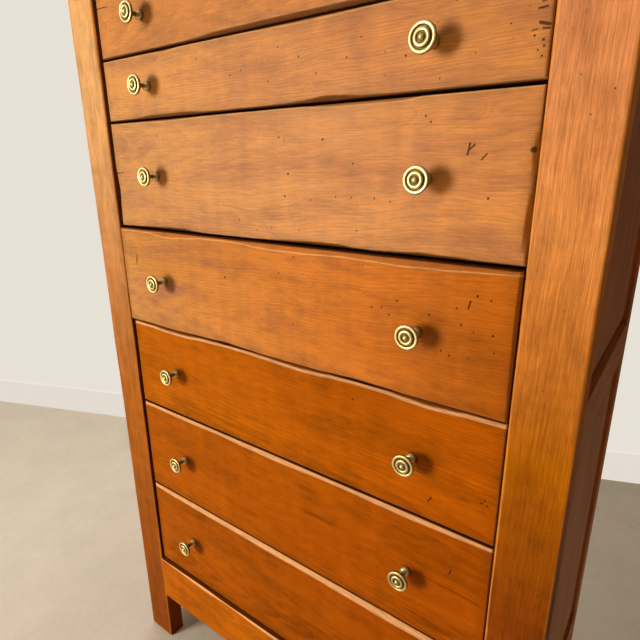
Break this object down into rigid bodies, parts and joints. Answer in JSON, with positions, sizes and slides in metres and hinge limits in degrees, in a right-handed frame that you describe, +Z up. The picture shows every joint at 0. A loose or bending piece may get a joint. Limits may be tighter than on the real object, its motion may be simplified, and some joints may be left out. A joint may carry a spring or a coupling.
{
  "type": "semainier",
  "caption": "Tall cherry chest of drawers with plank-like front posts, hand-bevelled drawer fronts and turned brass knobs.",
  "frame": {"origin": "on the floor, in the middle of the chest's outer box, brass knobs included", "axes": "+X to the right of someone facing the drawers, +Y from the drawer fronts to the back, +Z up"},
  "size_m": [0.872, 0.4494, 1.38],
  "materials": {
    "cherry": "waxed and aged cherry, satin",
    "inside_wood": "planed, unfinished poplar",
    "brass": "turned brass with dark patina in the grooves",
    "iron": "dark wrought iron"
  },
  "bodies": {
    "carcass": {"post_front_left": "cherry", "post_front_right": "cherry", "post_rear_left": "cherry", "post_rear_right": "cherry", "rail_front_bottom": "cherry", "rail_front_top": "cherry", "side_rails_left": "cherry", "side_rails_right": "cherry", "side_panels_left": "cherry", "side_panels_right": "cherry", "back_rails": "inside_wood", "back_boards": "inside_wood", "back_nails": "iron", "top_board": "cherry", "bottom_board": "inside_wood", "drawer_runners": "inside_wood", "drawer_guides": "inside_wood", "drawer_stops": "inside_wood"},
    "drawer_1": {"drawer_1_front": "cherry", "drawer_1_side_left": "inside_wood", "drawer_1_side_right": "inside_wood", "drawer_1_back": "inside_wood", "drawer_1_bottom": "inside_wood", "drawer_1_knobs": "brass"},
    "drawer_2": {"drawer_2_front": "cherry", "drawer_2_side_left": "inside_wood", "drawer_2_side_right": "inside_wood", "drawer_2_back": "inside_wood", "drawer_2_bottom": "inside_wood", "drawer_2_knobs": "brass"},
    "drawer_3": {"drawer_3_front": "cherry", "drawer_3_side_left": "inside_wood", "drawer_3_side_right": "inside_wood", "drawer_3_back": "inside_wood", "drawer_3_bottom": "inside_wood", "drawer_3_knobs": "brass"},
    "drawer_4": {"drawer_4_front": "cherry", "drawer_4_side_left": "inside_wood", "drawer_4_side_right": "inside_wood", "drawer_4_back": "inside_wood", "drawer_4_bottom": "inside_wood", "drawer_4_knobs": "brass"},
    "drawer_5": {"drawer_5_front": "cherry", "drawer_5_side_left": "inside_wood", "drawer_5_side_right": "inside_wood", "drawer_5_back": "inside_wood", "drawer_5_bottom": "inside_wood", "drawer_5_knobs": "brass"},
    "drawer_6": {"drawer_6_front": "cherry", "drawer_6_side_left": "inside_wood", "drawer_6_side_right": "inside_wood", "drawer_6_back": "inside_wood", "drawer_6_bottom": "inside_wood", "drawer_6_knobs": "brass"},
    "drawer_7": {"drawer_7_front": "cherry", "drawer_7_side_left": "inside_wood", "drawer_7_side_right": "inside_wood", "drawer_7_back": "inside_wood", "drawer_7_bottom": "inside_wood", "drawer_7_knobs": "brass"}
  },
  "joints": [
    {"name": "drawer_1_slide", "type": "slide", "parent": "carcass", "child": "drawer_1", "axis": [0, -1, 0], "range_m": [0, 0.28]},
    {"name": "drawer_2_slide", "type": "slide", "parent": "carcass", "child": "drawer_2", "axis": [0, -1, 0], "range_m": [0, 0.28]},
    {"name": "drawer_3_slide", "type": "slide", "parent": "carcass", "child": "drawer_3", "axis": [0, -1, 0], "range_m": [0, 0.28]},
    {"name": "drawer_4_slide", "type": "slide", "parent": "carcass", "child": "drawer_4", "axis": [0, -1, 0], "range_m": [-0.006, 0.28]},
    {"name": "drawer_5_slide", "type": "slide", "parent": "carcass", "child": "drawer_5", "axis": [0, -1, 0], "range_m": [0, 0.28]},
    {"name": "drawer_6_slide", "type": "slide", "parent": "carcass", "child": "drawer_6", "axis": [0, -1, 0], "range_m": [0, 0.28]},
    {"name": "drawer_7_slide", "type": "slide", "parent": "carcass", "child": "drawer_7", "axis": [0, -1, 0], "range_m": [0, 0.28]}
  ]
}
